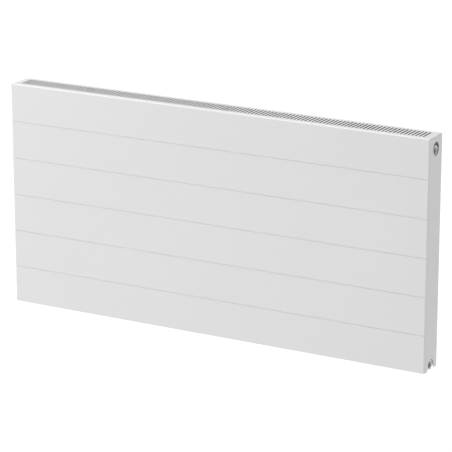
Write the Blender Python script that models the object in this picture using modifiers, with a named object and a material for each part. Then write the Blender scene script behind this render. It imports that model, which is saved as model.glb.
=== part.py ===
"""Double panel radiator with a flat front, top grille and side covers.

Metres, +Z up.  +X is to the right seen from the front and +Y points to the wall.  The origin lies in the
wall plane, the plane of the backs of the four hanging lugs, at the middle of the width and the height.
"""
import math

import bmesh
import bpy
from mathutils import Vector

MM = 0.001

# Driving dimensions
WIDTH = 1200 * MM
HEIGHT = 600 * MM
DEPTH = 77 * MM
LUG_DEPTH = 11 * MM
GAP = 0.3 * MM

X_END = WIDTH / 2
Z_LOW = -HEIGHT / 2
Z_TOP = HEIGHT / 2
Y_BACK = -LUG_DEPTH
Y_FRONT = Y_BACK - DEPTH

# Casing
PLATE_SHEET = 1.25 * MM
CASING_SHEET = 1.0 * MM
FOLD_RADIUS = 3.0 * MM
PLATE_RETURN = 6.0 * MM
GROOVE_COUNT = 5
GROOVE_PITCH = 100 * MM
FIRST_GROOVE = 99 * MM
GROOVE_WIDTH = 1.4 * MM
GROOVE_DEPTH = 0.7 * MM

# Grille
COVER_FOLD = 14 * MM
GRILLE_FOLD = 12 * MM
GRILLE_BACK_FOLD = 20 * MM
SLOT_COUNT = 116
SLOT_PITCH = 10 * MM
SLOT_WIDTH = 5 * MM
SLOT_START = 16 * MM
SLOT_END = 65 * MM
CLIP_WIDTH = 24 * MM
CLIP_SHEET = 0.8 * MM
CLIP_SPACING = 400 * MM

# Water panels
PANEL_SHEET = 1.2 * MM
PANEL_THICKNESS = 12.5 * MM
PANEL_END = 597 * MM
PANEL_LOW = Z_LOW + 1 * MM
PANEL_TOP = Z_TOP - 14 * MM
FLANGE = 4 * MM
SLOPE = 3 * MM
SEAM_COUNT = 35
SEAM_PITCH = WIDTH / (SEAM_COUNT + 1)
SEAM_WIDTH = 11 * MM
SEAM_LOW = Z_LOW + 42 * MM
SEAM_TOP = Z_TOP - 60 * MM
FRONT_PANEL_FACE = Y_FRONT + PLATE_SHEET + GAP
REAR_PANEL_FACE = Y_BACK - CASING_SHEET - GAP

# Convector
FIN_SHEET = 0.6 * MM
FIN_DEPTH = 36 * MM
FIN_FOOT = 12 * MM
FIN_LEAN = 3 * MM
FIN_LOW = Z_LOW + 48 * MM
FIN_TOP = Z_TOP - 66 * MM

# Tappings
HUB_RADIUS = 13 * MM
HUB_BORE = 9.3 * MM
HUB_PASSAGE = 7 * MM
SHEET_PASSAGE = 5 * MM
HUB_MOUTH = 598.5 * MM
HUB_AXIS = HUB_MOUTH - 3 * MM - HUB_RADIUS
UPPER_TAPPING = Z_TOP - 36.5 * MM
LOWER_TAPPING = Z_LOW + 13.5 * MM
HUB_FRONT = FRONT_PANEL_FACE + PANEL_THICKNESS + GAP
HUB_BACK = REAR_PANEL_FACE - PANEL_THICKNESS - GAP
Y_HUB = (HUB_FRONT + HUB_BACK) / 2

# Openings of the side covers
OPENING_RADIUS = 17.75 * MM
UPPER_OPENING = Z_TOP - 32.3 * MM
LOWER_OPENING = Z_LOW + 9.5 * MM
TAB_LENGTH = 14 * MM
TAB_HEIGHT = 14 * MM
TAB_PLACES = (-180 * MM, 180 * MM)

# Hanging lugs
LUG_SHEET = 2.5 * MM
LUG_WIDTH = 30 * MM
LUG_FOOT = 12 * MM
LUG_HEIGHT = 56 * MM
LUG_SLOT_WIDTH = 9 * MM
LUG_SLOT_LENGTH = 24 * MM
LUG_X = 466.7 * MM
LUG_UPPER = Z_TOP - 85 * MM
LUG_LOWER = Z_LOW + 95 * MM

# Plugs of the left tappings, measured outwards from the mouth of the tapping
SEAL_THICKNESS = 1.4 * MM
SEAL_INNER = 9.5 * MM
SEAL_OUTER = 11.6 * MM
SHANK_RADIUS = 8.9 * MM
SHANK_LENGTH = 10 * MM
HEAD_ACROSS = 21 * MM
HEAD_THICKNESS = 3.5 * MM
NOSE_RADIUS = 5.5 * MM
NOSE_LENGTH = 5 * MM
SCREW_BORE = 3.2 * MM
SCREW_RADIUS = 2.7 * MM
SCREW_LENGTH = 9 * MM
SQUARE_ACROSS = 3.6 * MM
COLLAR_INNER = 5.8 * MM
COLLAR_OUTER = 8.4 * MM
COLLAR_LENGTH = 4 * MM
SPOUT_RADIUS = 1.8 * MM
SPOUT_REACH = 10.5 * MM
KEY_ACROSS = 8 * MM
KEY_DEPTH = 5 * MM


def clear_scene():
    """Remove whatever the scene holds, so that only the radiator is in it."""
    for item in list(bpy.data.objects):
        bpy.data.objects.remove(item, do_unlink=True)


def new_collection(name):
    collection = bpy.data.collections.new(name)
    bpy.context.scene.collection.children.link(collection)
    return collection


def paint(name, colour, roughness, metallic):
    material = bpy.data.materials.new(name)
    material.use_nodes = True
    shader = material.node_tree.nodes["Principled BSDF"]
    shader.inputs["Base Color"].default_value = (*colour, 1.0)
    shader.inputs["Roughness"].default_value = roughness
    shader.inputs["Metallic"].default_value = metallic
    return material


WHITE = (0.86, 0.86, 0.86)
NICKEL = (0.72, 0.71, 0.68)
BLACK_RUBBER = (0.03, 0.03, 0.03)
FINISHES = {
    "enamel": (WHITE, 0.35, 0.0),
    "nickel": (NICKEL, 0.28, 1.0),
    "rubber": (BLACK_RUBBER, 0.75, 0.0),
    "plastic": (WHITE, 0.45, 0.0),
}


def add_object(name, shape, collection, place=(0, 0, 0), turn=(0, 0, 0)):
    mesh = bpy.data.meshes.new(name)
    shape.to_mesh(mesh)
    shape.free()
    item = bpy.data.objects.new(name, mesh)
    item.location = place
    item.rotation_euler = turn
    collection.objects.link(item)
    return item


def add_part(name, shape, finish, place=(0, 0, 0), turn=(0, 0, 0)):
    """Add a sub-part of the radiator with its own material."""
    item = add_object(name, shape, parts, place, turn)
    item.data.materials.append(paint(name, *FINISHES[finish]))
    return item


def add_cutter(name, shape, place=(0, 0, 0), turn=(0, 0, 0)):
    """Add a shape that only cuts or joins another, drawn as wire."""
    item = add_object(name, shape, cutters, place, turn)
    item.hide_render = True
    item.display_type = "WIRE"
    return item


def box(low, high):
    """A closed box between two corners."""
    low, high = Vector(low), Vector(high)
    shape = bmesh.new()
    bmesh.ops.create_cube(shape, size=1.0)
    bmesh.ops.scale(shape, vec=high - low, verts=shape.verts)
    bmesh.ops.translate(shape, vec=(low + high) / 2, verts=shape.verts)
    return shape


def keep_faces(shape, normals):
    """Leave only the sides of a box that face one of the given ways."""
    shape.normal_update()
    spare = [face for face in shape.faces
             if not any(face.normal.dot(Vector(way)) > 0.9 for way in normals)]
    bmesh.ops.delete(shape, geom=spare, context="FACES")
    return shape


def rod(radius, length, segments=24):
    """A closed cylinder or prism along Z that starts at the origin."""
    shape = bmesh.new()
    bmesh.ops.create_cone(shape, cap_ends=True, segments=segments, radius1=radius, radius2=radius,
                          depth=length)
    bmesh.ops.translate(shape, vec=(0, 0, length / 2), verts=shape.verts)
    return shape


def ring(outer, inner, height):
    """The rectangular section of a ring on the XZ plane, for a Screw about Z."""
    profile = [(outer, height), (outer, 0), (inner, 0), (inner, height)]
    shape = bmesh.new()
    points = [shape.verts.new((radius, 0, level)) for radius, level in profile]
    for start, end in zip(points, points[1:] + points[:1]):
        shape.edges.new((start, end))
    return shape


def screw(item, steps=32):
    spin = item.modifiers.new("turn", "SCREW")
    spin.axis = "Z"
    spin.steps = steps
    spin.render_steps = steps
    spin.use_merge_vertices = True
    spin.merge_threshold = 0.00001


def bevel(item, radius, segments=3, angle=40):
    edge = item.modifiers.new("round", "BEVEL")
    edge.width = radius
    edge.segments = segments
    edge.limit_method = "ANGLE"
    edge.angle_limit = math.radians(angle)


def solidify(item, thickness, offset=-1.0):
    wall = item.modifiers.new("sheet", "SOLIDIFY")
    wall.thickness = thickness
    wall.offset = offset
    wall.use_even_offset = True
    wall.use_quality_normals = True


def combine(item, other, operation="DIFFERENCE"):
    join = item.modifiers.new(other.name, "BOOLEAN")
    join.operation = operation
    join.solver = "EXACT"
    join.object = other


def smooth(item, angle=35):
    item.data.shade_smooth()
    item.data.set_sharp_from_angle(angle=math.radians(angle))


ALONG_X = (0, math.pi / 2, 0)
ALONG_MINUS_X = (0, -math.pi / 2, 0)
ALONG_Y = (-math.pi / 2, 0, 0)


def front_cover_plate():
    """Flat plate with folded edges and fine grooves across its whole width."""
    shape = keep_faces(box((-X_END, Y_FRONT, Z_LOW), (X_END, Y_FRONT + PLATE_RETURN, Z_TOP)),
                       [(1, 0, 0), (-1, 0, 0), (0, -1, 0), (0, 0, 1), (0, 0, -1)])
    plate = add_part("front_cover_plate", shape, "enamel")
    bevel(plate, FOLD_RADIUS)
    solidify(plate, PLATE_SHEET)
    for number in range(GROOVE_COUNT):
        level = Z_LOW + FIRST_GROOVE + number * GROOVE_PITCH
        groove = box((-X_END - MM, Y_FRONT - MM, level - GROOVE_WIDTH / 2),
                     (X_END + MM, Y_FRONT + GROOVE_DEPTH, level + GROOVE_WIDTH / 2))
        combine(plate, add_cutter(f"groove_{number + 1}", groove))


def seam_edge(column):
    """X of one side of a weld seam between two water channels; even columns start a seam."""
    middle = -WIDTH / 2 + SEAM_PITCH * (column // 2 + 1)
    return middle + (SEAM_WIDTH / 2 if column % 2 else -SEAM_WIDTH / 2)


def field_grid(face_y, columns, rows):
    """A grid on the XZ plane with its lines at the given columns and rows."""
    shape = bmesh.new()
    bmesh.ops.create_grid(shape, x_segments=len(columns) - 1, y_segments=len(rows) - 1, size=1.0)
    for point in shape.verts:
        column = round((point.co.x + 1) / 2 * (len(columns) - 1))
        row = round((point.co.y + 1) / 2 * (len(rows) - 1))
        point.co = (columns[column], face_y, rows[row])
    shape.normal_update()
    return shape


def merge_header(shape, low, high):
    """Join the faces of one header into one, with no spare points on its outer edge."""
    header = [face for face in shape.faces if low < face.calc_center_median().z < high]
    bmesh.ops.dissolve_faces(shape, faces=header)
    spare = [point for point in shape.verts if len(point.link_edges) == 2
             and all(edge.is_boundary for edge in point.link_edges)
             and abs(point.link_edges[0].calc_length() + point.link_edges[1].calc_length()
                     - (point.link_edges[0].other_vert(point).co
                        - point.link_edges[1].other_vert(point).co).length) < GAP / 100]
    bmesh.ops.dissolve_verts(shape, verts=spare)


def grow_rim(shape, outset, shift):
    """Extrude the open edge outwards in the XZ plane and move it along Y."""
    rim = [edge for edge in shape.edges if edge.is_boundary]
    grown = bmesh.ops.extrude_edge_only(shape, edges=rim)["geom"]
    points = [item for item in grown if isinstance(item, bmesh.types.BMVert)]
    right = max(point.co.x for point in points)
    low = min(point.co.z for point in points)
    top = max(point.co.z for point in points)
    for point in points:
        point.co.y += shift
        if abs(point.co.x) > right - GAP:
            point.co.x += math.copysign(outset, point.co.x)
        if point.co.z < low + GAP:
            point.co.z -= outset
        if point.co.z > top - GAP:
            point.co.z += outset


def pressed_sheet(name, face_y, outwards, has_passages):
    """One pressed sheet: a raised field with sunk weld seams, a slope and a weld flange round it.

    face_y is the raised face, and outwards is the way it faces along Y, +1 or -1.
    """
    press = PANEL_THICKNESS / 2 - PANEL_SHEET - GAP / 2
    field_end = PANEL_END - FLANGE - SLOPE
    columns = [-field_end] + [seam_edge(column) for column in range(2 * SEAM_COUNT)] + [field_end]
    rows = [PANEL_LOW + FLANGE + SLOPE, SEAM_LOW, SEAM_TOP, PANEL_TOP - FLANGE - SLOPE]
    shape = field_grid(face_y, columns, rows)
    seams = [face for face in shape.faces if SEAM_LOW < face.calc_center_median().z < SEAM_TOP
             and any(abs(face.calc_center_median().x + WIDTH / 2 - SEAM_PITCH * (number + 1)) < GAP
                     for number in range(SEAM_COUNT))]
    bmesh.ops.inset_individual(shape, faces=seams, thickness=SLOPE, use_even_offset=True)
    bottoms = {point for face in seams for point in face.verts}
    bmesh.ops.translate(shape, vec=(0, -outwards * press, 0), verts=list(bottoms))
    merge_header(shape, rows[0], rows[1])
    merge_header(shape, rows[2], rows[3])
    grow_rim(shape, SLOPE, -outwards * press)
    grow_rim(shape, FLANGE, 0)
    wall = bmesh.ops.extrude_face_region(shape, geom=shape.faces[:])["geom"]
    bmesh.ops.translate(shape, vec=(0, -outwards * PANEL_SHEET, 0),
                        verts=[item for item in wall if isinstance(item, bmesh.types.BMVert)])
    bmesh.ops.recalc_face_normals(shape, faces=shape.faces)
    sheet = add_part(name, shape, "enamel")
    if has_passages:
        for side in (-1, 1):
            for level in (LOWER_TAPPING, UPPER_TAPPING):
                hole = rod(SHEET_PASSAGE, 8 * MM, segments=16)
                place = (side * HUB_AXIS, face_y - 4 * MM, level)
                combine(sheet, add_cutter(f"{name}_passage", hole, place, ALONG_Y))


def water_panels():
    pressed_sheet("front_panel_outer_sheet", FRONT_PANEL_FACE, -1, False)
    pressed_sheet("front_panel_inner_sheet", FRONT_PANEL_FACE + PANEL_THICKNESS, 1, True)
    pressed_sheet("rear_panel_inner_sheet", REAR_PANEL_FACE - PANEL_THICKNESS, -1, True)
    pressed_sheet("rear_panel_outer_sheet", REAR_PANEL_FACE, 1, False)


def convector_fins():
    """One strip folded to and fro, its feet on the raised channels of the front panel's back."""
    foot_y = HUB_FRONT + FIN_SHEET / 2
    crest_y = foot_y + FIN_DEPTH
    shape = bmesh.new()
    steps = [(-FIN_FOOT / 2, foot_y), (FIN_FOOT / 2, foot_y), (FIN_FOOT / 2 + FIN_LEAN, crest_y),
             (SEAM_PITCH - FIN_FOOT / 2 - FIN_LEAN, crest_y)]
    fold = [(SEAM_PITCH * (channel + 1.5) - WIDTH / 2 + x, y)
            for channel in range(SEAM_COUNT - 1) for x, y in steps][:-2]
    points = [shape.verts.new((x, y, FIN_LOW)) for x, y in fold]
    line = [shape.edges.new(pair) for pair in zip(points, points[1:])]
    grown = bmesh.ops.extrude_edge_only(shape, edges=line)["geom"]
    bmesh.ops.translate(shape, vec=(0, 0, FIN_TOP - FIN_LOW),
                        verts=[item for item in grown if isinstance(item, bmesh.types.BMVert)])
    fins = add_part("convector_fins", shape, "enamel")
    solidify(fins, FIN_SHEET, offset=0.0)


def hub(name, side, level):
    """T-piece between the two panels: a cross tube with a threaded mouth to the side."""
    length = HUB_BACK - HUB_FRONT
    tube = add_part(name, rod(HUB_RADIUS, length), "enamel", (side * HUB_AXIS, HUB_FRONT, level), ALONG_Y)
    turn = ALONG_X if side > 0 else ALONG_MINUS_X
    axis = (side * HUB_AXIS, Y_HUB, level)
    reach = HUB_MOUTH - HUB_AXIS
    combine(tube, add_cutter(f"{name}_mouth", rod(HUB_RADIUS, reach), axis, turn), "UNION")
    combine(tube, add_cutter(f"{name}_thread", rod(HUB_BORE, reach + MM), axis, turn))
    start = (side * HUB_AXIS, HUB_FRONT - MM, level)
    combine(tube, add_cutter(f"{name}_passage", rod(HUB_PASSAGE, length + 2 * MM, 16), start, ALONG_Y))
    smooth(tube)


def hubs():
    for height, level in (("upper", UPPER_TAPPING), ("lower", LOWER_TAPPING)):
        for word, side in (("left", -1), ("right", 1)):
            hub(f"hub_{height}_{word}", side, level)


def top_grille():
    """Folded sheet with one row of crosswise slots; its back fold hangs behind the rear panel."""
    end = X_END - COVER_FOLD - GAP
    front = Y_FRONT + PLATE_RETURN + GAP
    shape = keep_faces(box((-end, front, Z_TOP - GRILLE_FOLD), (end, Y_BACK, Z_TOP)),
                       [(0, -1, 0), (0, 1, 0), (0, 0, 1)])
    for corner in shape.verts:
        if corner.co.y > Y_BACK - GAP and corner.co.z < Z_TOP - GAP:
            corner.co.z = Z_TOP - GRILLE_BACK_FOLD
    grille = add_part("top_grille", shape, "enamel")
    bevel(grille, 1.5 * MM)
    solidify(grille, CASING_SHEET)
    first = -SLOT_PITCH * (SLOT_COUNT - 1) / 2
    slot = box((first - SLOT_WIDTH / 2, Y_FRONT + SLOT_START, Z_TOP - 3 * MM),
               (first + SLOT_WIDTH / 2, Y_FRONT + SLOT_END, Z_TOP + 3 * MM))
    row = add_cutter("grille_slots", slot)
    array = row.modifiers.new("row", "ARRAY")
    array.count = SLOT_COUNT
    array.use_relative_offset = False
    array.use_constant_offset = True
    array.constant_offset_displace = (SLOT_PITCH, 0, 0)
    combine(grille, row)


def grille_clips():
    """U-shaped spring clips that rest on both panels and grip the folds of the grille."""
    front = Y_FRONT + PLATE_RETURN + 2 * GAP + CASING_SHEET
    back = Y_BACK - CASING_SHEET - GAP
    base = PANEL_TOP + GAP
    for word, middle in (("left", -CLIP_SPACING), ("middle", 0), ("right", CLIP_SPACING)):
        shape = keep_faces(box((middle - CLIP_WIDTH / 2, front, base),
                               (middle + CLIP_WIDTH / 2, back, Z_TOP - 4 * MM)),
                           [(0, -1, 0), (0, 1, 0), (0, 0, -1)])
        clip = add_part(f"grille_clip_{word}", shape, "nickel")
        bevel(clip, 1.5 * MM, segments=2)
        solidify(clip, CLIP_SHEET)


def side_cover(word, side):
    """Side sheet folded over the top and the back, with gripping tabs between the two panels."""
    inner, outer = side * (X_END - COVER_FOLD), side * X_END
    shape = keep_faces(box((min(inner, outer), Y_FRONT + PLATE_RETURN + GAP, Z_LOW),
                           (max(inner, outer), Y_BACK, Z_TOP)),
                       [(side, 0, 0), (0, 1, 0), (0, 0, 1)])
    cover = add_part(f"side_cover_{word}", shape, "enamel")
    bevel(cover, FOLD_RADIUS)
    solidify(cover, CASING_SHEET)
    root = side * (X_END - CASING_SHEET / 2)
    tip = side * (X_END - TAB_LENGTH)
    for middle in TAB_PLACES:
        for near in (HUB_FRONT, HUB_BACK - CASING_SHEET):
            tab = box((min(root, tip), near, middle - TAB_HEIGHT / 2),
                      (max(root, tip), near + CASING_SHEET, middle + TAB_HEIGHT / 2))
            combine(cover, add_cutter(f"side_cover_{word}_tab", tab), "UNION")
    through = 6 * MM
    start = side * X_END - through / 2
    for level in (UPPER_OPENING, LOWER_OPENING):
        hole = rod(OPENING_RADIUS, through, segments=32)
        combine(cover, add_cutter(f"side_cover_{word}_opening", hole, (start, Y_HUB, level), ALONG_X))
    notch = box((start, Y_HUB - OPENING_RADIUS, Z_LOW - 5 * MM),
                (start + through, Y_HUB + OPENING_RADIUS, LOWER_OPENING))
    combine(cover, add_cutter(f"side_cover_{word}_notch", notch))


def hanging_lug(name, x, level):
    """Hat-shaped bracket welded to the rear panel, with a channel behind it and a slot."""
    foot_y = REAR_PANEL_FACE + GAP + LUG_SHEET
    shape = keep_faces(box((x - LUG_WIDTH / 2, foot_y, level - LUG_HEIGHT / 2),
                           (x + LUG_WIDTH / 2, 0, level + LUG_HEIGHT / 2)),
                       [(1, 0, 0), (-1, 0, 0), (0, 1, 0)])
    for side in (-1, 1):
        edges = [edge for edge in shape.edges if edge.is_boundary
                 and all(point.co.y < foot_y + MM / 10 for point in edge.verts)
                 and (edge.verts[0].co.x - x) * side > 0]
        grown = bmesh.ops.extrude_edge_only(shape, edges=edges)["geom"]
        bmesh.ops.translate(shape, vec=(side * LUG_FOOT, 0, 0),
                            verts=[item for item in grown if isinstance(item, bmesh.types.BMVert)])
    bmesh.ops.recalc_face_normals(shape, faces=shape.faces)
    if max(shape.faces, key=lambda face: face.calc_center_median().y).normal.y < 0:
        bmesh.ops.reverse_faces(shape, faces=shape.faces)
    lug = add_part(name, shape, "enamel")
    bevel(lug, 2 * MM, segments=2)
    solidify(lug, LUG_SHEET)
    slot = box((x - LUG_SLOT_WIDTH / 2, -4 * MM, level - LUG_SLOT_LENGTH / 2),
               (x + LUG_SLOT_WIDTH / 2, 2 * MM, level + LUG_SLOT_LENGTH / 2))
    combine(lug, add_cutter(f"{name}_slot", slot))


def hanging_lugs():
    for height, level in (("upper", LUG_UPPER), ("lower", LUG_LOWER)):
        for word, side in (("left", -1), ("right", 1)):
            hanging_lug(f"hanging_lug_{height}_{word}", side * LUG_X, level)


def on_left_tapping(outwards, level):
    """A place on the axis of a left tapping, so far outwards from its mouth."""
    return (-HUB_MOUTH - outwards, Y_HUB, level)


def plug_seal(name, level):
    section = ring(SEAL_OUTER, SEAL_INNER, SEAL_THICKNESS)
    seal = add_part(name, section, "rubber", on_left_tapping(GAP, level), ALONG_MINUS_X)
    screw(seal)
    smooth(seal)


def plug_body(name, level):
    """Threaded shank in the tapping and a hexagon head outside it."""
    head_start = SEAL_THICKNESS + 2 * GAP
    head = rod(HEAD_ACROSS / 2 / math.cos(math.pi / 6), HEAD_THICKNESS, 6)
    body = add_part(name, head, "nickel", on_left_tapping(head_start, level), ALONG_MINUS_X)
    shank = rod(SHANK_RADIUS, SHANK_LENGTH + head_start + MM)
    combine(body, add_cutter(f"{name}_shank", shank, on_left_tapping(-SHANK_LENGTH, level), ALONG_MINUS_X),
            "UNION")
    return body, head_start + HEAD_THICKNESS


def air_vent():
    """Vent plug with a nose that carries the turning nozzle collar, and the bleed screw in it."""
    body, face = plug_body("vent_plug", UPPER_TAPPING)
    nose = rod(NOSE_RADIUS, NOSE_LENGTH + MM)
    combine(body, add_cutter("vent_nose", nose, on_left_tapping(face - MM, UPPER_TAPPING), ALONG_MINUS_X),
            "UNION")
    bore = rod(SCREW_BORE, SHANK_LENGTH + face + NOSE_LENGTH + 2 * MM, 16)
    start = on_left_tapping(-SHANK_LENGTH - MM, UPPER_TAPPING)
    combine(body, add_cutter("vent_bore", bore, start, ALONG_MINUS_X))
    smooth(body)
    plug_seal("vent_plug_seal", UPPER_TAPPING)

    nose_end = face + NOSE_LENGTH
    screw_start = nose_end - SCREW_LENGTH
    bleed = add_part("bleed_screw", rod(SCREW_RADIUS, SCREW_LENGTH, 16), "nickel",
                     on_left_tapping(screw_start, UPPER_TAPPING), ALONG_MINUS_X)
    square = rod(SQUARE_ACROSS / math.sqrt(2), 3 * MM, 4)
    square_start = on_left_tapping(nose_end - MM, UPPER_TAPPING)
    combine(bleed, add_cutter("bleed_screw_square", square, square_start, ALONG_MINUS_X), "UNION")
    smooth(bleed)

    collar_start = face + GAP
    collar = add_part("vent_nozzle_collar", ring(COLLAR_OUTER, COLLAR_INNER, COLLAR_LENGTH), "plastic",
                      on_left_tapping(collar_start, UPPER_TAPPING), ALONG_MINUS_X)
    screw(collar)
    spout_place = Vector(on_left_tapping(collar_start + COLLAR_LENGTH / 2, UPPER_TAPPING))
    spout = rod(SPOUT_RADIUS, SPOUT_REACH - COLLAR_INNER - MM, 12)
    spout_place.z -= COLLAR_INNER + MM
    combine(collar, add_cutter("vent_spout", spout, spout_place, (math.pi, 0, 0)), "UNION")
    smooth(collar)


def blanking_plug():
    body, face = plug_body("blanking_plug", LOWER_TAPPING)
    key = rod(KEY_ACROSS / 2 / math.cos(math.pi / 6), KEY_DEPTH + MM, 6)
    start = on_left_tapping(face - KEY_DEPTH, LOWER_TAPPING)
    combine(body, add_cutter("blanking_plug_key", key, start, ALONG_MINUS_X))
    smooth(body)
    plug_seal("blanking_plug_seal", LOWER_TAPPING)


clear_scene()
parts = new_collection("radiator")
cutters = new_collection("cutters")
front_cover_plate()
water_panels()
convector_fins()
hubs()
top_grille()
grille_clips()
side_cover("left", -1)
side_cover("right", 1)
hanging_lugs()
air_vent()
blanking_plug()
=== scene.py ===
import math

import bmesh
import bpy
from mathutils import Matrix, Vector


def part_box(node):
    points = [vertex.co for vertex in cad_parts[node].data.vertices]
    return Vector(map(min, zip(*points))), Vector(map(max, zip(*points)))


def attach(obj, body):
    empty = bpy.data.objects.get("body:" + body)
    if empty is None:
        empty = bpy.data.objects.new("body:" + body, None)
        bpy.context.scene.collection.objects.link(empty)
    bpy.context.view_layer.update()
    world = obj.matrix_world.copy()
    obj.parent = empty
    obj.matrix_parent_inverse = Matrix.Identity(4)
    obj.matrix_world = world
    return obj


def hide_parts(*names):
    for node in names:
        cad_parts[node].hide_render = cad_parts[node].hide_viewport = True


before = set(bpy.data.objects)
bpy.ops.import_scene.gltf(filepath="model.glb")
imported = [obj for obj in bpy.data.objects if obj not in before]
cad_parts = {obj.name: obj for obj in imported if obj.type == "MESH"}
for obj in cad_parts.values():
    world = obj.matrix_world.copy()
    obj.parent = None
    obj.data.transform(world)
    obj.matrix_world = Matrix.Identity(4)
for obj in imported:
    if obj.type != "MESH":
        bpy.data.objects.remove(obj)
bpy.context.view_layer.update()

# A white panel radiator with a flat grooved front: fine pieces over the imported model, and their finishes.

MM = 0.001
TOUCH = 0.02 * MM           # places closer than this count as the same
SHARP_ANGLE = 40            # degrees: an edge that turns more than this is a sharp one
CUTTER_REACH = 3 * MM       # how far a cutter stands past thin sheet


# ---------------------------------------------------------------- places, read from the frame

PLATE_LOW, PLATE_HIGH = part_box("front_cover_plate")
GRILLE_LOW, GRILLE_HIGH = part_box("top_grille")
COVER_LOW, COVER_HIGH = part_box("side_cover_right")
SHEET_LOW, SHEET_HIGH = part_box("front_panel_outer_sheet")
FRONT_INNER_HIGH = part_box("front_panel_inner_sheet")[1]
REAR_INNER_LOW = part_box("rear_panel_inner_sheet")[0]
REAR_OUTER_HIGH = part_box("rear_panel_outer_sheet")[1]
FINS_LOW, FINS_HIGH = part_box("convector_fins")
CLIP_LOW, CLIP_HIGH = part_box("grille_clip_middle")
LUG_LOW, LUG_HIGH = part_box("hanging_lug_upper_right")
LOWER_LUG_LOW, LOWER_LUG_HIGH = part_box("hanging_lug_lower_right")
HUB_LOW, HUB_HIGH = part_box("hub_upper_right")
LOWER_HUB_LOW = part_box("hub_lower_right")[0]

WIDTH = PLATE_HIGH.x - PLATE_LOW.x
X_END = PLATE_HIGH.x
Z_LOW, Z_TOP = PLATE_LOW.z, PLATE_HIGH.z
Y_FRONT = PLATE_LOW.y
HUB_Y = (HUB_LOW.y + HUB_HIGH.y) / 2
HUB_RADIUS = (HUB_HIGH.z - HUB_LOW.z) / 2
HUB_AXIS = HUB_LOW.x + HUB_RADIUS
HUB_MOUTH = HUB_HIGH.x
UPPER_TAPPING = HUB_LOW.z + HUB_RADIUS
LOWER_TAPPING = LOWER_HUB_LOW.z + HUB_RADIUS

# Sheet metal
PLATE_SHEET = 1.25 * MM
CASING_SHEET = 1.0 * MM
PANEL_SHEET = 1.2 * MM
FIN_SHEET = 0.6 * MM
CLIP_SHEET = 0.8 * MM
LUG_SHEET = 2.5 * MM
FOLD_RADIUS = 3.0 * MM

# Grooves of the front plate
GROOVE_LEVELS = [Z_LOW + (99 + 100 * number) * MM for number in range(5)]
GROOVE_HALF = 1.05 * MM
GROOVE_DEPTH = 1.05 * MM
GROOVE_LIP = 0.35 * MM

# Grille
GRILLE_FRONT_FOLD = 12 * MM
GRILLE_RADIUS = 1.5 * MM
SLOT_COUNT = 116
SLOT_PITCH = 10 * MM
SLOT_HALF = 2.5 * MM
SLOT_START = Y_FRONT + 16 * MM
SLOT_END = Y_FRONT + 65 * MM

# Openings of the side covers
OPENING_RADIUS = 17.75 * MM
UPPER_OPENING = Z_TOP - 32.3 * MM
LOWER_OPENING = Z_LOW + 9.5 * MM
TAB_HALF = 7 * MM
TAB_RADIUS = 3 * MM
TAB_LEVELS = (-180 * MM, 180 * MM)

# Water panels
SEAM_COUNT = 35
SEAM_PITCH = WIDTH / (SEAM_COUNT + 1)
SEAM_WIDTH = 11 * MM
SEAM_LOW = Z_LOW + 42 * MM
SEAM_TOP = Z_TOP - 60 * MM
SLOPE = 3 * MM
FLANGE = 4 * MM
PRESS = 5.0 * MM
PRESS_RADIUS = 0.8 * MM

# Convector
FIN_FOOT = 12 * MM
FIN_LEAN = 3 * MM
FIN_RADIUS = 1.6 * MM

# Lugs
LUG_BRIDGE_HALF = 15 * MM
LUG_FOOT = 12 * MM
LUG_RADIUS = 2.6 * MM
LUG_SLOT_HALF = 4.5 * MM
LUG_SLOT_REACH = 12 * MM
WELD_OFFSET = 21 * MM
WELD_LEVELS = (-16 * MM, 16 * MM)
WELD_RADIUS, WELD_FLOOR_RADIUS = 3.2 * MM, 2.6 * MM

# Clips
CLIP_PLACES = {"left": -400 * MM, "middle": 0, "right": 400 * MM}
CLIP_ROLL = 3 * MM
CLIP_LEAN = 1.5 * MM
CLIP_RADIUS = 1.4 * MM
CLIP_HOLE_RADIUS = 3.5 * MM
CLIP_HOLE_OFFSET = 18 * MM

# Tappings and plugs
THREAD_PITCH = 1.814 * MM
THREAD_DEPTH = 0.9 * MM
HUB_BORE = 9.3 * MM
HUB_CHAMFER_RADIUS = HUB_BORE + 2.2 * MM
HUB_PASSAGE = 7 * MM
SHEET_PASSAGE = 5 * MM
SEAL_START, SEAL_END = 0.3 * MM, 1.7 * MM
SEAL_RADIUS, SEAL_BORE = 11.6 * MM, 9.5 * MM
HEAD_START, HEAD_END = 2.0 * MM, 5.5 * MM
HEAD_CORNER = 21 * MM / 2 / math.cos(math.pi / 6)
SHANK_LENGTH = 10 * MM
SHANK_RADIUS = 8.9 * MM
SHANK_ROOT = SHANK_RADIUS - 0.8 * MM
KEY_CORNER = 4 * MM / math.cos(math.pi / 6)
KEY_DEPTH = 5 * MM

# Air vent
NOSE_END = 10.5 * MM
NOSE_RADIUS, NOSE_BORE = 5.5 * MM, 3.2 * MM
SCREW_START = NOSE_END - 9 * MM
SCREW_RADIUS = 2.7 * MM
SEAT_END = SCREW_START + 2.5 * MM
SQUARE_CORNER = 1.8 * math.sqrt(2) * MM
SQUARE_END = NOSE_END + 2 * MM
DRIVER_SLOT_HALF = 0.4 * MM
DRIVER_SLOT_DEPTH = 1.2 * MM
COLLAR_START, COLLAR_END = HEAD_END + 0.3 * MM, HEAD_END + 4.3 * MM
COLLAR_RADIUS, COLLAR_BORE = 8.4 * MM, 5.8 * MM
COLLAR_SIDES = 48
FLUTE_RIM, FLUTE_DEPTH = 0.12 * MM, 0.35 * MM
SPOUT_RADIUS, SPOUT_BORE = 1.8 * MM, 0.9 * MM
SPOUT_END = 10.5 * MM

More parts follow.
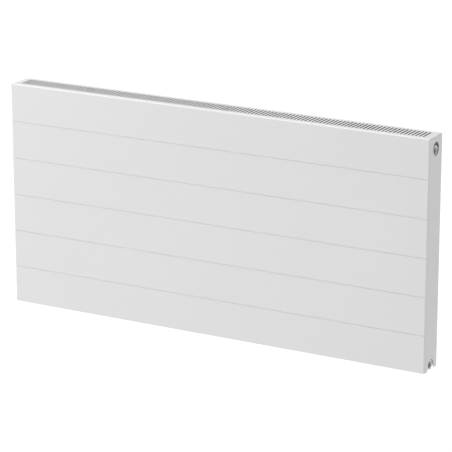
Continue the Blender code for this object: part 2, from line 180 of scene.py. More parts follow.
# Camera and studio, in metres and degrees
FOCAL_LENGTH = 194.7
SENSOR_WIDTH = 36
CAMERA_OFFSET = (2.287, -5.216, 1.501)      # from the front's upper right corner
CAMERA_TILT = 16.84
CAMERA_TURN = 28.60
SURROUND_LIGHT, SURROUND_SEEN = 0.30, 1.0
FLOOR_LEVEL = -1.0
FLOOR_SIZE = 60


# ---------------------------------------------------------------- modelling helpers

def alone(piece):
    """Select one piece and nothing else."""
    bpy.ops.object.select_all(action="DESELECT")
    piece.select_set(True)
    bpy.context.view_layer.objects.active = piece


def settle(piece):
    """Put the piece's place, turn and size into its mesh."""
    alone(piece)
    bpy.ops.object.transform_apply(location=True, rotation=True, scale=True)
    return piece


def block(name, low, high):
    """A box between two corners, the start of a folded or cut piece."""
    bpy.ops.object.select_all(action="DESELECT")
    low, high = Vector(low), Vector(high)
    bpy.ops.mesh.primitive_cube_add(size=1, location=(low + high) / 2)
    piece = bpy.context.object
    piece.name = piece.data.name = name
    piece.scale = high - low
    return settle(piece)


def bar(name, radius, start, end, sides=48, end_radius=None):
    """A round or many-sided bar, or a cone, from one point to another."""
    bpy.ops.object.select_all(action="DESELECT")
    start, end = Vector(start), Vector(end)
    bpy.ops.mesh.primitive_cone_add(vertices=sides, radius1=radius,
                                    radius2=radius if end_radius is None else end_radius,
                                    depth=(end - start).length, location=(start + end) / 2)
    piece = bpy.context.object
    piece.name = piece.data.name = name
    piece.rotation_euler = (end - start).to_track_quat("Z", "Y").to_euler()
    return settle(piece)


def shaping(piece):
    """Enter edit mode on one piece, with nothing of it selected."""
    alone(piece)
    bpy.ops.object.mode_set(mode="EDIT")
    bpy.ops.mesh.select_all(action="DESELECT")


def shaped():
    bpy.ops.object.mode_set(mode="OBJECT")


def pick(kind, test):
    """In edit mode, select only the points, edges or faces that pass a test."""
    bpy.context.tool_settings.mesh_select_mode = (kind == "verts", kind == "edges", kind == "faces")
    bpy.ops.mesh.select_all(action="DESELECT")
    mesh = bpy.context.edit_object.data
    shape = bmesh.from_edit_mesh(mesh)
    shape.normal_update()
    for item in getattr(shape, kind):
        if test(item):
            item.select_set(True)
    shape.select_flush_mode()
    bmesh.update_edit_mesh(mesh)


def middle(edge):
    return (edge.verts[0].co + edge.verts[1].co) / 2


def near(value, target):
    return abs(value - target) < TOUCH


def cut(axis, level):
    """Cut the whole mesh by a plane square to one axis, 0 for X, 1 for Y and 2 for Z."""
    bpy.ops.mesh.select_all(action="SELECT")
    place, normal = [0, 0, 0], [0, 0, 0]
    place[axis] = level
    normal[axis] = 1
    bpy.ops.mesh.bisect(plane_co=place, plane_no=normal)


def push(x=0.0, y=0.0, z=0.0):
    bpy.ops.transform.translate(value=(x, y, z))


def draw_out(x=0.0, y=0.0):
    """Extrude what is selected and move it."""
    bpy.ops.mesh.extrude_region_move(TRANSFORM_OT_translate={"value": (x, y, 0)})


def round_off(offset, segments, affect="EDGES"):
    bpy.ops.mesh.bevel(offset=offset, segments=segments, affect=affect)


def finish(piece, kind, **settings):
    """Add a modifier with its settings and apply it."""
    alone(piece)
    modifier = piece.modifiers.new(kind.lower(), kind)
    for name, value in settings.items():
        setattr(modifier, name, value)
    bpy.ops.object.modifier_apply(modifier=modifier.name)
    return piece


def thicken(piece, thickness, offset=-1):
    return finish(piece, "SOLIDIFY", thickness=thickness, offset=offset, use_even_offset=True,
                  use_quality_normals=True)


def combine(piece, tool, operation="DIFFERENCE"):
    """Cut a piece with a tool, or join the tool to it, and put the tool away."""
    finish(piece, "BOOLEAN", operation=operation, solver="EXACT", object=tool)
    bpy.data.objects.remove(tool)
    return piece


def smooth(piece, angle=SHARP_ANGLE):
    """Smooth the rounded stretches and keep the flats flat."""
    alone(piece)
    bpy.ops.object.shade_smooth_by_angle(angle=math.radians(angle))
    return finish(piece, "WEIGHTED_NORMAL", keep_sharp=True)


def soften(piece, width, segments=2):
    """Take the sharpness off every edge steeper than the angle that counts as sharp."""
    finish(piece, "BEVEL", width=width, segments=segments, limit_method="ANGLE",
           angle_limit=math.radians(SHARP_ANGLE))
    return smooth(piece)


def join(name, pieces):
    """Join several meshes into one piece."""
    bpy.ops.object.select_all(action="DESELECT")
    for piece in pieces:
        piece.select_set(True)
    bpy.context.view_layer.objects.active = pieces[0]
    bpy.ops.object.join()
    whole = pieces[0]
    whole.name = whole.data.name = name
    return whole


def weld(piece):
    """Merge the points where joined cells meet."""
    shaping(piece)
    bpy.ops.mesh.select_all(action="SELECT")
    bpy.ops.mesh.remove_doubles(threshold=0.01 * MM)
    shaped()
    return piece


def copy_of(piece, name, change=Matrix.Identity(4)):
    """A copy with its own mesh, moved or mirrored in the mesh."""
    mesh = piece.data.copy()
    twin = bpy.data.objects.new(name, mesh)
    mesh.name = name
    bpy.context.scene.collection.objects.link(twin)
    mesh.transform(change)
    if change.determinant() < 0:
        mesh.flip_normals()
    return twin


def moved(x=0.0, y=0.0, z=0.0):
    return Matrix.Translation((x, y, z))


MIRROR_X = Matrix.Diagonal((-1, 1, 1, 1))
MIRROR_Y = Matrix.Diagonal((1, -1, 1, 1))


def dress(piece, material, body, slot, *nodes):
    """Give a piece its finish, its body and the nodes that it stands for; its slot argument is not used."""
    piece.data.materials.clear()
    piece.data.materials.append(material)
    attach(piece, body)
    if nodes:
        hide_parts(*nodes)
    return piece


# ---------------------------------------------------------------- finishes

def shade(code):
    """An sRGB hex colour as linear red, green, blue and alpha."""
    channels = [int(code[place:place + 2], 16) / 255 for place in (1, 3, 5)]
    return [c / 12.92 if c <= 0.04045 else ((c + 0.055) / 1.055) ** 2.4 for c in channels] + [1.0]


def add_node(tree, kind, values=None, links=None, **settings):
    """One shader node with its settings, its input values and its links."""
    node = tree.nodes.new(kind)
    for name, value in settings.items():
        setattr(node, name, value)
    for name, value in (values or {}).items():
        node.inputs[name].default_value = value
    for name, source in (links or {}).items():
        tree.links.new(source, node.inputs[name])
    return node


def new_material(name, **sockets):
    """A material, its node tree and its shader, with the sockets that stay even set on the shader."""
    material = bpy.data.materials.new(name)
    material.use_nodes = True
    shader = material.node_tree.nodes["Principled BSDF"]
    for socket, value in sockets.items():
        shader.inputs[socket.replace("_", " ")].default_value = value
    return material, material.node_tree, shader


def grain(tree, size, detail=2.0):
    """Noise on the object's own coordinates, with features of a real size in metres."""
    place = add_node(tree, "ShaderNodeTexCoord")
    return add_node(tree, "ShaderNodeTexNoise", {"Scale": 1 / size, "Detail": detail},
                    {"Vector": place.outputs["Object"]})


def tint(tree, shader, noise, dark, light):
    """Let the colour drift between two close shades."""
    mix = add_node(tree, "ShaderNodeMix", data_type="RGBA")
    mix.inputs["A"].default_value = shade(dark)
    mix.inputs["B"].default_value = shade(light)
    tree.links.new(noise.outputs["Fac"], mix.inputs["Factor"])
    tree.links.new(mix.outputs["Result"], shader.inputs["Base Color"])


def vary(tree, shader, noise, low, high):
    """Let the roughness drift between two values."""
    spread = add_node(tree, "ShaderNodeMapRange", {"To Min": low, "To Max": high},
                      {"Value": noise.outputs["Fac"]})
    tree.links.new(spread.outputs["Result"], shader.inputs["Roughness"])


def raise_grain(tree, shader, noise, height, strength=1.0):
    """A relief of a real height in metres."""
    bump = add_node(tree, "ShaderNodeBump", {"Strength": strength, "Distance": height},
                    {"Height": noise.outputs["Fac"]})
    tree.links.new(bump.outputs["Normal"], shader.inputs["Normal"])


def powder_coat(name, dark, light, roughness):
    """Baked white epoxy-polyester powder: an even satin white with a faint orange peel of 2 mm."""
    material, tree, shader = new_material(name, IOR=1.5)
    tint(tree, shader, grain(tree, 300 * MM), dark, light)
    vary(tree, shader, grain(tree, 12 * MM, 3), roughness - 0.03, roughness + 0.03)
    raise_grain(tree, shader, grain(tree, 2 * MM), 0.004 * MM, 0.6)
    return material


def nickel_plate(name):
    """Nickel-plated brass: warm grey and glossy, with a fine grain of 0.4 mm."""
    material, tree, shader = new_material(name, Metallic=1.0)
    tint(tree, shader, grain(tree, 6 * MM), "#C9C6BC", "#D8D6CE")
    vary(tree, shader, grain(tree, 1.5 * MM, 4), 0.2, 0.34)
    raise_grain(tree, shader, grain(tree, 0.4 * MM), 0.002 * MM)
    return material


def zinc_plate(name):
    """Zinc-plated spring steel: bluish grey, toned darker than bare zinc as painted shade for the clips'
    place under the grille, half dull, with a cloudy spangle of 4 mm.
    """
    material, tree, shader = new_material(name, Metallic=1.0)
    # These greys are darker than bare zinc: painted shade, matched to the shaded panels seen through the
    # grille.
    tint(tree, shader, grain(tree, 4 * MM, 4), "#94999D", "#AEB2B6")
    vary(tree, shader, grain(tree, 4 * MM, 4), 0.3, 0.48)
    raise_grain(tree, shader, grain(tree, 0.8 * MM), 0.003 * MM)
    return material


def seal_rubber(name):
    """Moulded EPDM rubber: near black, matt, with a fine grain of 0.3 mm."""
    material, tree, shader = new_material(name, IOR=1.52)
    tint(tree, shader, grain(tree, 3 * MM), "#1B1B1C", "#242425")
    vary(tree, shader, grain(tree, 1 * MM), 0.62, 0.75)
    raise_grain(tree, shader, grain(tree, 0.3 * MM), 0.01 * MM)
    return material


def moulded_white(name):
    """Injection-moulded white acetal: slightly waxy, with a fine spark-eroded grain of 0.4 mm."""
    material, tree, shader = new_material(name, IOR=1.48)
    tint(tree, shader, grain(tree, 10 * MM), "#E2E2E0", "#E8E8E6")
    vary(tree, shader, grain(tree, 2 * MM), 0.38, 0.48)
    raise_grain(tree, shader, grain(tree, 0.4 * MM), 0.006 * MM)
    return material


COAT = powder_coat("casing_powder_coat", "#D8D8D8", "#DCDCDC", 0.36)
# Panels, fins, tappings and lugs get a slightly darker copy of the casing's white. This is painted shade
# for the inside of the casing; the real coat is the same white.
SHADED_PANEL_COAT = powder_coat("panel_powder_coat_painted_shade", "#D5D5D5", "#DADADA", 0.42)
NICKEL = nickel_plate("nickel_plated_brass")
SHADED_ZINC = zinc_plate("zinc_plated_spring_steel_painted_shade")
RUBBER = seal_rubber("epdm_seal_rubber")
ACETAL = moulded_white("white_acetal")


# ---------------------------------------------------------------- camera, light and floor

def camera():
    """A long lens in front of the radiator, to its right and above its top, which looks down at it."""
    lens = bpy.data.cameras.new("camera")
    lens.lens = FOCAL_LENGTH
    lens.sensor_width = SENSOR_WIDTH
    lens.clip_end = FLOOR_SIZE
    item = bpy.data.objects.new("camera", lens)
    bpy.context.scene.collection.objects.link(item)
    item.location = Vector((X_END, Y_FRONT, Z_TOP)) + Vector(CAMERA_OFFSET)
    item.rotation_euler = (math.radians(90 - CAMERA_TILT), 0, math.radians(CAMERA_TURN))
    bpy.context.scene.camera = item


def add_light(name, kind, place, strength, **settings):
    """A light that shines from its place towards the middle of the radiator."""
    light = bpy.data.lights.new(name, kind)
    light.energy = strength
    for word, value in settings.items():
        setattr(light, word, value)
    item = bpy.data.objects.new(name, light)
    bpy.context.scene.collection.objects.link(item)
    item.location = place
    item.rotation_euler = (-Vector(place)).to_track_quat("-Z", "Y").to_euler()


def studio():
    """A surround that looks white and lights softly, a broad light from above, a window and a floor."""
    scene = bpy.context.scene
    scene.view_settings.view_transform = "Standard"
    world = bpy.data.worlds.new("studio")
    world.use_nodes = True
    tree = world.node_tree
    surround = tree.nodes["Background"]
    surround.inputs["Color"].default_value = (1, 1, 1, 1)
    ray = add_node(tree, "ShaderNodeLightPath")
    level = add_node(tree, "ShaderNodeMapRange", {"To Min": SURROUND_LIGHT, "To Max": SURROUND_SEEN},
                     {"Value": ray.outputs["Is Camera Ray"]})
    tree.links.new(level.outputs["Result"], surround.inputs["Strength"])
    scene.world = world
    add_light("overhead", "SUN", place=(-0.9, -0.46, 3.0), strength=2.9, angle=math.radians(70))
    add_light("window", "AREA", place=(-1.6, -1.7, 1.4), strength=15, shape="SQUARE", size=1.2)
    bpy.ops.mesh.primitive_plane_add(size=FLOOR_SIZE, location=(0, 0, FLOOR_LEVEL))
    floor = bpy.context.object
    floor.name = "floor"
    material, _, shader = new_material("floor_paper", Roughness=0.9)
    shader.inputs["Base Color"].default_value = shade("#F6F6F6")
    floor.data.materials.append(material)


bpy.ops.object.select_all(action="DESELECT")
camera()
studio()


# ---------------------------------------------------------------- casing

def groove_tool(level):
    """A flat-bottomed cutter with flared sides, which leaves a groove with broken lips."""
    tool = block("groove", (-X_END - MM, Y_FRONT - MM, level - GROOVE_HALF),
                 (X_END + MM, Y_FRONT + GROOVE_DEPTH, level + GROOVE_HALF))
    shaping(tool)
    cut(1, Y_FRONT + GROOVE_LIP)
    for side in (-1, 1):
        pick("verts", lambda point: near(point.co.y, Y_FRONT - MM) and (point.co.z - level) * side > 0)
        push(z=side * (GROOVE_LIP + MM))
    shaped()
    return tool


def front_plate():
    """Thick sheet folded back on all four sides, with five grooves that run out in the side folds."""
    plate = block("front_plate", PLATE_LOW, PLATE_HIGH)
    shaping(plate)
    pick("faces", lambda face: face.normal.y > 0.9)
    bpy.ops.mesh.delete(type="FACE")
    pick("edges", lambda edge: not edge.is_boundary)
    round_off(FOLD_RADIUS, 6)
    shaped()
    thicken(plate, PLATE_SHEET)
    combine(plate, join("grooves", [groove_tool(level) for level in GROOVE_LEVELS]))
    smooth(plate, 30)
    dress(plate, COAT, "radiator", "casing", "front_cover_plate")


def grille_cell():
    """One pitch of the grille: a channel with rolled edges and one round-ended slot, open at both ends."""
    half = SLOT_PITCH / 2
    cell = block("grille_cell", (-half, GRILLE_LOW.y, GRILLE_LOW.z), (half, GRILLE_HIGH.y, GRILLE_HIGH.z))
    shaping(cell)
    pick("faces", lambda face: face.normal.z < -0.9 or abs(face.normal.x) > 0.9)
    bpy.ops.mesh.delete(type="FACE")
    pick("verts", lambda point: near(point.co.y, GRILLE_LOW.y) and near(point.co.z, GRILLE_LOW.z))
    push(z=Z_TOP - GRILLE_FRONT_FOLD - GRILLE_LOW.z)
    pick("edges", lambda edge: not edge.is_boundary)
    round_off(GRILLE_RADIUS, 4)
    shaped()
    thicken(cell, CASING_SHEET)
    slot = block("slot", (-SLOT_HALF, SLOT_START, Z_TOP - CUTTER_REACH),
                 (SLOT_HALF, SLOT_END, Z_TOP + CUTTER_REACH))
    shaping(slot)
    pick("edges", lambda edge: near(edge.verts[0].co.x, edge.verts[1].co.x)
         and near(edge.verts[0].co.y, edge.verts[1].co.y))
    round_off(SLOT_HALF - 0.01 * MM, 6)
    shaped()
    combine(cell, slot)
    shaping(cell)
    pick("faces", lambda face: abs(face.normal.x) > 0.9 and near(abs(face.calc_center_median().x), half))
    bpy.ops.mesh.delete(type="FACE")
    shaped()
    return finish(cell, "BEVEL", width=0.2 * MM, segments=1, limit_method="ANGLE",
                  angle_limit=math.radians(60))


def top_grille():
    """A row of equal cells with a plain strip and a closed end at each side."""
    cell = grille_cell()
    first = -SLOT_PITCH * (SLOT_COUNT - 1) / 2
    cells = [copy_of(cell, f"grille_cell_{number}", moved(x=first + number * SLOT_PITCH))
             for number in range(SLOT_COUNT)]
    bpy.data.objects.remove(cell)
    grille = weld(join("top_grille_fine", cells))
    shaping(grille)
    for side in (-1, 1):
        row_end = side * SLOT_PITCH * SLOT_COUNT / 2
        pick("edges", lambda edge: edge.is_boundary and near(middle(edge).x, row_end))
        draw_out(x=side * GRILLE_HIGH.x - row_end)
        bpy.ops.mesh.edge_face_add()
    bpy.ops.mesh.select_all(action="SELECT")
    bpy.ops.mesh.normals_make_consistent(inside=False)
    shaped()
    smooth(grille, 50)
    dress(grille, COAT, "grille", "grille", "top_grille")


def cover_tab(level, near_y):
    """A gripping tab with rounded corners, which stands behind one of the panels."""
    tip = COVER_LOW.x
    tab = block("tab", (tip, near_y, level - TAB_HALF),
                (X_END - CASING_SHEET / 2, near_y + CASING_SHEET, level + TAB_HALF))
    shaping(tab)
    pick("edges", lambda edge: near(middle(edge).x, tip) and near(edge.verts[0].co.z, edge.verts[1].co.z))
    round_off(TAB_RADIUS, 4)
    shaped()
    return tab


def side_covers():
    """Side sheets folded over the top and the back, with a round opening and a notch for the valves."""
    cover = block("side_cover_right_fine", COVER_LOW, COVER_HIGH)
    shaping(cover)
    pick("faces", lambda face: face.normal.x < -0.9 or face.normal.y < -0.9 or face.normal.z < -0.9)
    bpy.ops.mesh.delete(type="FACE")
    pick("edges", lambda edge: not edge.is_boundary)
    round_off(FOLD_RADIUS, 5)
    shaped()
    thicken(cover, CASING_SHEET)
    for level in TAB_LEVELS:
        for near_y in (HUB_LOW.y, HUB_HIGH.y - CASING_SHEET):
            combine(cover, cover_tab(level, near_y), "UNION")
    start, end = X_END - CUTTER_REACH, X_END + CUTTER_REACH
    for level in (UPPER_OPENING, LOWER_OPENING):
        combine(cover, bar("opening", OPENING_RADIUS, (start, HUB_Y, level), (end, HUB_Y, level), 64))
    combine(cover, block("notch", (start, HUB_Y - OPENING_RADIUS, Z_LOW - 5 * MM),
                         (end, HUB_Y + OPENING_RADIUS, LOWER_OPENING)))
    twin = copy_of(cover, "side_cover_left_fine", MIRROR_X)
    soften(cover, 0.25 * MM)
    soften(twin, 0.25 * MM)
    dress(cover, COAT, "right_cover", "casing", "side_cover_right")
    dress(twin, COAT, "left_cover", "casing", "side_cover_left")


front_plate()
top_grille()
side_covers()


# ---------------------------------------------------------------- water panels and convector

FIELD_END = SHEET_HIGH.x - FLANGE - SLOPE
FIELD_LOW = SHEET_LOW.z + FLANGE + SLOPE
FIELD_TOP = SHEET_HIGH.z - FLANGE - SLOPE


def is_fold(edge):
    """An edge along the sheet where its slope changes."""
    return (len(edge.link_faces) == 2 and near(edge.verts[0].co.y, edge.verts[1].co.y)
            and edge.calc_face_angle() > math.radians(20))


def seam_cell():
    """One pitch of a sheet that faces -Y: a raised field round a sunk weld seam with round ends."""
    centre = (0, 0, (SEAM_LOW + SEAM_TOP) / 2)
    bpy.ops.object.select_all(action="DESELECT")
    bpy.ops.mesh.primitive_plane_add(size=1, location=centre, rotation=(math.pi / 2, 0, 0))
    cell = bpy.context.object
    cell.scale = (SEAM_WIDTH, SEAM_TOP - SEAM_LOW, 1)
    settle(cell)
    shaping(cell)
    bpy.ops.mesh.select_all(action="SELECT")
    round_off(SEAM_WIDTH / 2, 4, "VERTICES")
    bpy.ops.mesh.select_all(action="SELECT")
    bpy.ops.mesh.remove_doubles(threshold=0.05 * MM)
    pick("edges", lambda edge: edge.is_boundary)
    bpy.ops.mesh.extrude_edges_move()
    bpy.ops.transform.resize(value=(SEAM_PITCH / SEAM_WIDTH, 1, 1), center_override=centre)
    for level in (FIELD_LOW, FIELD_TOP):
        pick("verts", lambda point: point.is_boundary and (point.co.z > centre[2]) == (level > centre[2]))
        bpy.ops.transform.resize(value=(1, 1, 0), center_override=(0, 0, level))
    pick("faces", lambda face: len(face.verts) > 4)
    bpy.ops.mesh.inset(thickness=SLOPE)
    push(y=PRESS)
    pick("edges", is_fold)
    round_off(PRESS_RADIUS, 2)
    shaped()
    return cell


def grow_rim(outset, shift):
    """Extrude the open edge of the sheet outwards and move it along Y."""
    places = [point.co for point in bmesh.from_edit_mesh(bpy.context.edit_object.data).verts]
    right = max(place.x for place in places)
    low = min(place.z for place in places)
    top = max(place.z for place in places)
    pick("edges", lambda edge: edge.is_boundary)
    draw_out(y=shift)
    for side in (-1, 1):
        pick("verts", lambda point: point.is_boundary and near(point.co.x, side * right))
        push(x=side * outset)
    pick("verts", lambda point: point.is_boundary and near(point.co.z, low))
    push(z=-outset)
    pick("verts", lambda point: point.is_boundary and near(point.co.z, top))
    push(z=outset)


def pressed_sheet():
    """A whole sheet in the plane y = 0 that faces -Y: channels, headers, slope and weld flange."""
    cell = seam_cell()
    cells = [copy_of(cell, f"cell_{number}", moved(x=SEAM_PITCH * (number + 1) - WIDTH / 2))
             for number in range(SEAM_COUNT)]
    bpy.data.objects.remove(cell)
    sheet = weld(join("pressed_sheet", cells))
    shaping(sheet)
    for side in (-1, 1):
        row_end = side * SEAM_PITCH * SEAM_COUNT / 2
        pick("edges", lambda edge: edge.is_boundary and near(middle(edge).x, row_end))
        draw_out(x=side * FIELD_END - row_end)
    grow_rim(SLOPE, PRESS)
    grow_rim(FLANGE, 0)
    pick("edges", lambda edge: is_fold(edge) and (abs(middle(edge).x) > FIELD_END - MM
         or not FIELD_LOW + MM < middle(edge).z < FIELD_TOP - MM))
    round_off(PRESS_RADIUS, 2)
    shaped()
    return sheet


def passage_tools(y):
    """Four bars that cut the water passages to the tappings."""
    return join("passages", [bar("passage", SHEET_PASSAGE, (side * HUB_AXIS, y - 4 * MM, level),
                                 (side * HUB_AXIS, y + 4 * MM, level), 24)
                             for side in (-1, 1) for level in (LOWER_TAPPING, UPPER_TAPPING)])


def water_panels():
    """Four pressed sheets: the inner ones have holes to the tappings, the outer ones are whole."""
    plain = pressed_sheet()
    thicken(plain, PANEL_SHEET)
    for name, face_y, change, has_passages in (
            ("front_panel_outer_sheet", SHEET_LOW.y, Matrix.Identity(4), False),
            ("front_panel_inner_sheet", FRONT_INNER_HIGH.y, MIRROR_Y, True),
            ("rear_panel_inner_sheet", REAR_INNER_LOW.y, Matrix.Identity(4), True),
            ("rear_panel_outer_sheet", REAR_OUTER_HIGH.y, MIRROR_Y, False)):
        sheet = copy_of(plain, f"{name}_fine", moved(y=face_y) @ change)
        if has_passages:
            combine(sheet, passage_tools(face_y))
        smooth(sheet, 50)
        dress(sheet, SHADED_PANEL_COAT, "radiator", "panel", name)
    bpy.data.objects.remove(plain)


def convector():
    """One long strip folded to and fro, its feet on the channels of the front panel's back."""
    depth = FINS_HIGH.y - FINS_LOW.y - FIN_SHEET
    crest = SEAM_PITCH - FIN_FOOT - 2 * FIN_LEAN
    first = Vector((SEAM_PITCH * 1.5 - WIDTH / 2, FINS_LOW.y + FIN_SHEET / 2,
                    (FINS_LOW.z + FINS_HIGH.z) / 2))
    bpy.ops.object.select_all(action="DESELECT")
    bpy.ops.mesh.primitive_plane_add(size=1, rotation=(math.pi / 2, 0, 0), location=first)
    fins = bpy.context.object
    fins.name = fins.data.name = "convector_fine"
    fins.scale = (FIN_FOOT, FINS_HIGH.z - FINS_LOW.z, 1)
    settle(fins)
    shaping(fins)
    pick("edges", lambda edge: near(middle(edge).x, first.x + FIN_FOOT / 2))
    for _ in range(SEAM_COUNT - 2):
        draw_out(x=FIN_LEAN, y=depth)
        draw_out(x=crest)
        draw_out(x=FIN_LEAN, y=-depth)
        draw_out(x=FIN_FOOT)
    pick("edges", lambda edge: not edge.is_boundary)
    round_off(FIN_RADIUS, 4)
    shaped()
    thicken(fins, FIN_SHEET, 0)
    smooth(fins, 30)
    dress(fins, SHADED_PANEL_COAT, "radiator", "panel", "convector_fins")


water_panels()
convector()


# ---------------------------------------------------------------- tappings

def threaded_bar(name, start, end, level, root, crest):
    """A bar along X with rings at the pitch of a half-inch pipe thread, to be cut with or joined."""
    screw = bar(name, root, (start, HUB_Y, level), (end, HUB_Y, level))
    low, high = min(start, end), max(start, end)
    rings = int((high - low) / THREAD_PITCH)
    shaping(screw)
    for half_turn in range(1, 2 * rings):
        cut(0, low + half_turn * THREAD_PITCH / 2)
    pick("verts", lambda point: round((point.co.x - low) / (THREAD_PITCH / 2)) % 2 == 1
         and low + THREAD_PITCH / 4 < point.co.x < high - THREAD_PITCH / 4)
    bpy.ops.transform.resize(value=(1, crest / root, crest / root), center_override=(0, HUB_Y, level))
    shaped()
    return screw


def tapping(level):
    """Welded T-piece: a cross tube between the panels with a threaded mouth to the side."""
    hub = bar("hub", HUB_RADIUS, (HUB_AXIS, HUB_LOW.y, level), (HUB_AXIS, HUB_HIGH.y, level), 64)
    mouth = bar("mouth", HUB_RADIUS - 0.05 * MM, (HUB_AXIS, HUB_Y, level), (HUB_MOUTH, HUB_Y, level), 64)
    combine(hub, mouth, "UNION")
    combine(hub, threaded_bar("thread", HUB_MOUTH + 2 * MM, HUB_AXIS - 2 * MM, level, HUB_BORE,
                              HUB_BORE + THREAD_DEPTH))
    combine(hub, bar("chamfer", HUB_CHAMFER_RADIUS, (HUB_MOUTH + MM, HUB_Y, level),
                     (HUB_MOUTH - 2 * MM, HUB_Y, level), 48, HUB_BORE - 0.8 * MM))
    combine(hub, bar("passage", HUB_PASSAGE, (HUB_AXIS, HUB_LOW.y - MM, level),
                     (HUB_AXIS, HUB_HIGH.y + MM, level), 32))
    return weld(hub)


def tappings():
    """Two T-pieces at the right end, and their mirror images at the left."""
    for height, level in (("upper", UPPER_TAPPING), ("lower", LOWER_TAPPING)):
        right = tapping(level)
        right.name = right.data.name = f"hub_{height}_right_fine"
        left = copy_of(right, f"hub_{height}_left_fine", MIRROR_X)
        soften(right, 0.3 * MM)
        soften(left, 0.3 * MM)
        dress(right, SHADED_PANEL_COAT, "radiator", "panel", f"hub_{height}_right")
        dress(left, SHADED_PANEL_COAT, "radiator", "panel", f"hub_{height}_left")


tappings()


# ---------------------------------------------------------------- lugs and clips

def hanging_lugs():
    """Hat-shaped brackets welded to the back, with a slot and four weld spots on the feet."""
    middle_x, level = (LUG_LOW.x + LUG_HIGH.x) / 2, (LUG_LOW.z + LUG_HIGH.z) / 2
    foot_y = LUG_LOW.y + LUG_SHEET
    lug = block("lug", (middle_x - LUG_BRIDGE_HALF, foot_y, LUG_LOW.z),
                (middle_x + LUG_BRIDGE_HALF, LUG_HIGH.y, LUG_HIGH.z))
    shaping(lug)
    pick("faces", lambda face: face.normal.y < -0.9 or abs(face.normal.z) > 0.9)
    bpy.ops.mesh.delete(type="FACE")
    for side in (-1, 1):
        pick("edges", lambda edge: near(middle(edge).y, foot_y) and (middle(edge).x - middle_x) * side > 0
             and near(edge.verts[0].co.y, edge.verts[1].co.y))
        draw_out(x=side * LUG_FOOT)
    pick("edges", lambda edge: not edge.is_boundary)
    round_off(LUG_RADIUS, 5)
    bpy.ops.mesh.select_all(action="SELECT")
    bpy.ops.mesh.normals_make_consistent(inside=False)
    faces = bmesh.from_edit_mesh(lug.data).faces
    if max(faces, key=lambda face: face.calc_center_median().y).normal.y < 0:
        bpy.ops.mesh.flip_normals()
    shaped()
    thicken(lug, LUG_SHEET)
    slot = block("slot", (middle_x - LUG_SLOT_HALF, LUG_HIGH.y - 4 * MM, level - LUG_SLOT_REACH),
                 (middle_x + LUG_SLOT_HALF, LUG_HIGH.y + 2 * MM, level + LUG_SLOT_REACH))
    shaping(slot)
    pick("edges", lambda edge: near(edge.verts[0].co.x, edge.verts[1].co.x)
         and near(edge.verts[0].co.z, edge.verts[1].co.z))
    round_off(LUG_SLOT_HALF - 0.1 * MM, 6)
    shaped()
    combine(lug, slot)
    for side in (-1, 1):
        for height in WELD_LEVELS:
            x, z = middle_x + side * WELD_OFFSET, level + height
            combine(lug, bar("spot", WELD_RADIUS, (x, foot_y - 0.5 * MM, z), (x, foot_y + MM, z), 24,
                             WELD_FLOOR_RADIUS))
    drop = (LOWER_LUG_LOW.z + LOWER_LUG_HIGH.z) / 2 - level
    for word, change in (("upper_right", Matrix.Identity(4)), ("upper_left", MIRROR_X),
                         ("lower_right", moved(z=drop)), ("lower_left", moved(z=drop) @ MIRROR_X)):
        twin = soften(copy_of(lug, f"hanging_lug_{word}_fine", change), 0.3 * MM)
        dress(twin, SHADED_PANEL_COAT, "radiator", "panel", f"hanging_lug_{word}")
    bpy.data.objects.remove(lug)


def grille_clips():
    """U-shaped spring clips whose legs end in a small outward roll."""
    clip = block("clip", CLIP_LOW, CLIP_HIGH)
    shaping(clip)
    pick("faces", lambda face: face.normal.z > 0.9 or abs(face.normal.x) > 0.9)
    bpy.ops.mesh.delete(type="FACE")
    cut(2, CLIP_HIGH.z - CLIP_ROLL)
    for side, edge_y in ((1, CLIP_LOW.y), (-1, CLIP_HIGH.y)):
        pick("verts", lambda point: near(point.co.z, CLIP_HIGH.z) and near(point.co.y, edge_y))
        push(y=side * CLIP_LEAN)
    pick("edges", lambda edge: not edge.is_boundary)
    round_off(CLIP_RADIUS, 4)
    shaped()
    thicken(clip, CLIP_SHEET)
    for side in (-1, 1):
        y = (CLIP_LOW.y + CLIP_HIGH.y) / 2 + side * CLIP_HOLE_OFFSET
        combine(clip, bar("hole", CLIP_HOLE_RADIUS, (0, y, CLIP_LOW.z - 2 * MM),
                          (0, y, CLIP_LOW.z + 3 * MM), 32))
    soften(clip, 0.15 * MM)
    for word, x in CLIP_PLACES.items():
        twin = copy_of(clip, f"grille_clip_{word}_fine", moved(x=x))
        dress(twin, SHADED_ZINC, "radiator", "spring_steel", f"grille_clip_{word}")
    bpy.data.objects.remove(clip)


hanging_lugs()
grille_clips()


# ---------------------------------------------------------------- air vent and blanking plug

def left_place(outwards, level):
    """A place on the axis of a left tapping, so far outwards from its mouth."""
    return -HUB_MOUTH - outwards, HUB_Y, level


def left_bar(name, radius, start, end, level, sides=48, end_radius=None):
    return bar(name, radius, left_place(start, level), left_place(end, level), sides, end_radius)


def seal(name, level):
    """Flat ring with rounded edges between the tapping and the plug's head."""
    ring = left_bar(f"{name}_fine", SEAL_RADIUS, SEAL_START, SEAL_END, level, 64)
    combine(ring, left_bar("hole", SEAL_BORE, SEAL_START - MM, SEAL_END + MM, level, 64))
    soften(ring, 0.5 * MM, 3)
    dress(ring, RUBBER, "radiator", "seal", name)


def plug(name, level):
    """Chamfered hexagon head with a threaded shank."""
    head = left_bar(name, HEAD_CORNER, HEAD_START, HEAD_END, level, 6)
    turned = left_bar("turned", HEAD_CORNER, HEAD_START, HEAD_END, level, 64)
    shaping(turned)
    pick("edges", lambda edge: len(edge.link_faces) == 2 and edge.calc_face_angle() > 1)
    round_off(1.0 * MM, 1)
    shaped()
    combine(head, turned, "INTERSECT")
    shank = threaded_bar("shank", -HUB_MOUTH + SHANK_LENGTH, -HUB_MOUTH - HEAD_START - MM, level,
                         SHANK_ROOT, SHANK_RADIUS)
    return combine(head, shank, "UNION")


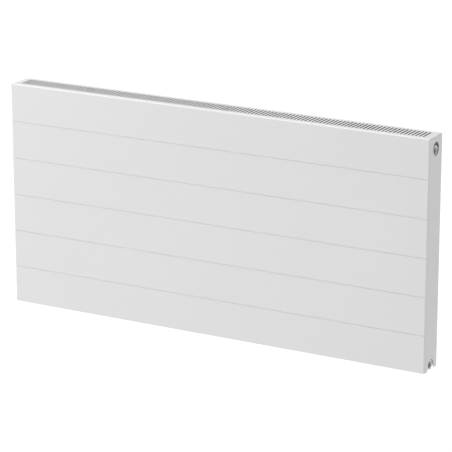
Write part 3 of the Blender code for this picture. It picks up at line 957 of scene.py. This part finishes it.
def air_vent():
    """Plug with a round nose and a bore for the bleed screw."""
    body = plug("vent_plug_fine", UPPER_TAPPING)
    combine(body, left_bar("nose", NOSE_RADIUS, HEAD_END - MM, NOSE_END, UPPER_TAPPING), "UNION")
    combine(body, left_bar("bore", NOSE_BORE, -SHANK_LENGTH - MM, NOSE_END + MM, UPPER_TAPPING, 32))
    soften(body, 0.2 * MM)
    dress(body, NICKEL, "radiator", "plug_nickel", "vent_plug")
    seal("vent_plug_seal", UPPER_TAPPING)


def bleed_screw():
    """Screw with a cone seat, a turned neck and a slotted square end."""
    body = left_bar("bleed_screw_fine", SCREW_RADIUS, SCREW_START + 2 * MM, NOSE_END, UPPER_TAPPING, 32)
    combine(body, left_bar("seat", 0.6 * MM, SCREW_START, SEAT_END, UPPER_TAPPING, 32,
                           SCREW_RADIUS - 0.1 * MM), "UNION")
    combine(body, left_bar("square", SQUARE_CORNER, NOSE_END - MM, SQUARE_END, UPPER_TAPPING, 4), "UNION")
    x, y, z = left_place(SQUARE_END, UPPER_TAPPING)
    combine(body, block("slot", (x - MM, y - SCREW_RADIUS, z - DRIVER_SLOT_HALF),
                        (x + DRIVER_SLOT_DEPTH, y + SCREW_RADIUS, z + DRIVER_SLOT_HALF)))
    soften(body, 0.15 * MM)
    dress(body, NICKEL, "bleed", "plug_nickel", "bleed_screw")


def nozzle_collar():
    """Ring with shallow grip flutes and a hollow spout that points down."""
    collar = left_bar("vent_nozzle_collar_fine", COLLAR_RADIUS, COLLAR_START, COLLAR_END, UPPER_TAPPING,
                      COLLAR_SIDES)
    centre = Vector(left_place(0, UPPER_TAPPING))

    def is_flute(face):
        """Every second side, except near the spout."""
        offset = face.calc_center_median() - centre
        turn = math.degrees(math.atan2(offset.z, offset.y)) % 360
        side = round(turn * COLLAR_SIDES / 360 - 0.5)
        return abs(face.normal.x) < 0.5 and side % 2 == 0 and not 250 < turn < 290

    shaping(collar)
    pick("faces", is_flute)
    bpy.ops.mesh.inset(thickness=FLUTE_RIM, use_individual=True)
    bpy.ops.transform.shrink_fatten(value=-FLUTE_DEPTH)
    shaped()
    x = -HUB_MOUTH - (COLLAR_START + COLLAR_END) / 2

    def spout_bar(name, radius, start, end, sides):
        """A bar that points down from the vent's axis, between two distances from it."""
        return bar(name, radius, (x, HUB_Y, UPPER_TAPPING - start), (x, HUB_Y, UPPER_TAPPING - end), sides)

    combine(collar, spout_bar("spout", SPOUT_RADIUS, COLLAR_BORE + 1.2 * MM, SPOUT_END, 32), "UNION")
    combine(collar, left_bar("hole", COLLAR_BORE, COLLAR_START - MM, COLLAR_END + MM, UPPER_TAPPING, 64))
    combine(collar, spout_bar("spout_hole", SPOUT_BORE, COLLAR_BORE - 0.8 * MM, SPOUT_END + 1.5 * MM, 24))
    smooth(collar, 30)
    dress(collar, ACETAL, "nozzle_collar", "collar_plastic", "vent_nozzle_collar")


def blanking_plug():
    """Plug with a hexagon socket for a key."""
    body = plug("blanking_plug_fine", LOWER_TAPPING)
    combine(body, left_bar("key", KEY_CORNER, HEAD_END - KEY_DEPTH, HEAD_END + MM, LOWER_TAPPING, 6))
    soften(body, 0.2 * MM)
    dress(body, NICKEL, "radiator", "plug_nickel", "blanking_plug")
    seal("blanking_plug_seal", LOWER_TAPPING)


air_vent()
bleed_screw()
nozzle_collar()
blanking_plug()
